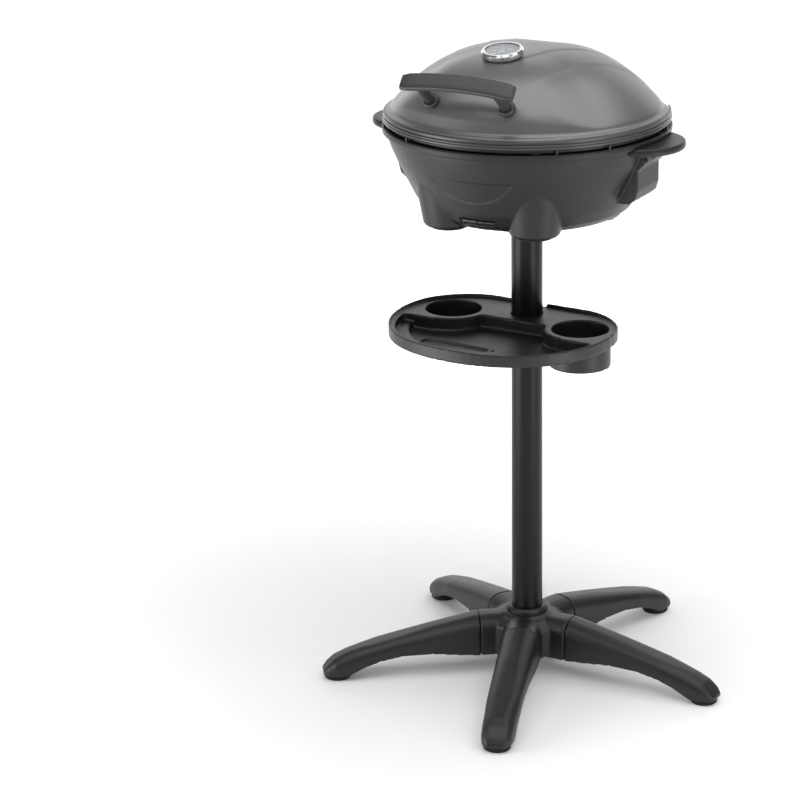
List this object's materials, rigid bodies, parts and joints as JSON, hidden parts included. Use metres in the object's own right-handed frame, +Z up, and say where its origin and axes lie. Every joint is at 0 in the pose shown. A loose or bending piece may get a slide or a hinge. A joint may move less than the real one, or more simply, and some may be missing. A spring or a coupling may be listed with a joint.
{
  "type": "electric pedestal grill",
  "caption": "Electric grill with a hinged domed lid, ribbed plate, drip tray and thermostat plug, on a pole with a utensil shelf and a star base.",
  "frame": {"origin": "on the floor on the pole's axis", "axes": "+Z up along the pole, -Y towards the front where the lid handle and drip tray are, +X to the right seen from the front"},
  "size_m": [0.5883, 0.6186, 0.9939],
  "materials": {
    "stand_plastic": "fine-grained moulded plastic",
    "shelf_plastic": "fine-grained moulded plastic",
    "pole_paint": "satin black powder coat on steel tube",
    "inner_plastic": "plain moulded plastic",
    "black_rubber": "matt rubber",
    "zinc_screws": "zinc plated",
    "bowl_plastic": "satin grey heat-resistant plastic",
    "reflector_steel": "bright sheet",
    "element_steel": "heat-tinted sheathed element",
    "terminal_brass": "plain",
    "black_plastic": "satin black",
    "plate_coating": "black non-stick coating on cast aluminium",
    "stud_plastic": "plain moulded plastic",
    "hinge_chrome": "plated steel",
    "tray_plastic": "satin",
    "lid_paint": "satin metallic grey",
    "handle_plastic": "satin grey",
    "gauge_chrome": "polished",
    "dial_grey": "printed dial",
    "lens_glass": "clear",
    "needle_paint": "painted",
    "lamp_plastic": "clear red lens",
    "cord_plastic": "flexible sheath",
    "pin_brass": "nickel plated"
  },
  "bodies": {
    "stand": {"hub": "stand_plastic", "leg_arm_1": "stand_plastic", "leg_arm_2": "stand_plastic", "leg_arm_3": "stand_plastic", "leg_arm_4": "stand_plastic", "leg_arm_5": "stand_plastic", "foot_pads": "black_rubber", "leg_screws": "zinc_screws", "hub_collar": "stand_plastic", "pole_bolt": "zinc_screws", "pole_foot_plug": "inner_plastic", "lower_pole": "pole_paint", "pole_joiner": "inner_plastic", "upper_pole": "pole_paint", "pole_top_plug": "inner_plastic", "shelf": "shelf_plastic", "shelf_collar": "stand_plastic", "shelf_screws": "zinc_screws", "cord_clip": "inner_plastic", "power_cord": "cord_plastic", "cord_coil": "cord_plastic", "cord_tie": "cord_plastic", "plug_body": "cord_plastic", "plug_pins": "pin_brass"},
    "head": {"base_bowl": "bowl_plastic", "left_side_handle": "bowl_plastic", "right_side_handle": "bowl_plastic", "side_handle_screws": "zinc_screws", "rubber_feet": "black_rubber", "heat_reflector": "reflector_steel", "heating_element": "element_steel", "element_terminals": "terminal_brass", "socket_shroud": "black_plastic", "cook_plate": "plate_coating", "lid_rest_studs": "stud_plastic", "hinge_brackets": "hinge_chrome", "hinge_pins": "hinge_chrome", "probe_lower_case": "black_plastic", "probe_upper_case": "black_plastic", "sensor_rod": "element_steel", "indicator_lamp": "lamp_plastic", "strain_relief": "black_plastic"},
    "lid": {"lid_shell": "lid_paint", "lid_rim_band": "lid_paint", "lid_handle": "handle_plastic", "handle_posts": "handle_plastic", "handle_collars": "handle_plastic", "handle_screws": "zinc_screws", "hinge_leaves": "hinge_chrome", "hinge_screws": "zinc_screws", "gauge_case": "gauge_chrome", "gauge_bezel": "gauge_chrome", "gauge_dial": "dial_grey", "gauge_lens": "lens_glass", "gauge_stem": "hinge_chrome", "gauge_nut": "hinge_chrome"},
    "drip_tray": {"drip_tray": "tray_plastic"},
    "knob": {"temperature_knob": "black_plastic", "knob_cap": "dial_grey"},
    "needle": {"gauge_needle": "needle_paint"}
  },
  "joints": [
    {"name": "head_lift", "type": "slide", "parent": "stand", "child": "head", "axis": [0, 0, 1], "range_m": [0, 0.03]},
    {"name": "lid_hinge", "type": "hinge", "parent": "head", "child": "lid", "pos_m": [0, 0.172, 0.882], "axis": [-1, 0, 0], "range_deg": [0, 100]},
    {"name": "drip_tray_slide", "type": "slide", "parent": "head", "child": "drip_tray", "axis": [0, -1, 0], "range_m": [0, 0.1]},
    {"name": "knob_turn", "type": "hinge", "parent": "head", "child": "knob", "pos_m": [-0.17253, 0.17253, 0.866], "axis": [0, 0, -1], "range_deg": [0, 250]},
    {"name": "needle_turn", "type": "hinge", "parent": "lid", "child": "needle", "pos_m": [0, -0.076, 0.978], "axis": [0, -0.1564, 0.9877], "range_deg": [-240, 0]}
  ]
}
